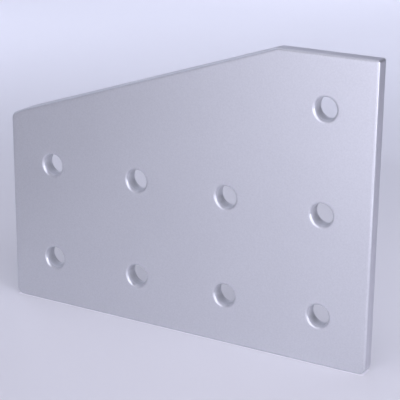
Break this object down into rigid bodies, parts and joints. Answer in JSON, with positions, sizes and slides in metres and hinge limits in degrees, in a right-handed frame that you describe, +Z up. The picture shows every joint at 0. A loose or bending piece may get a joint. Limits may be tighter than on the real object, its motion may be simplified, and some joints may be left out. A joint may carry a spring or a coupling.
{
  "type": "extrusion joining plate",
  "caption": "Flat aluminium plate with a sloping top edge and a square grid of clearance holes, for bolting framing profiles together.",
  "frame": {"origin": "middle of the plate's outer box, at the bottom edge that it stands on", "axes": "+X along the width, towards the tall end; +Y through the thickness, from the front face to the back face; +Z up the height"},
  "size_m": [0.16, 0.0064, 0.12],
  "materials": {
    "anodised_aluminium": "satin clear anodised, very fine grain"
  },
  "bodies": {
    "root": {"joining_plate": "anodised_aluminium"}
  },
  "joints": []
}
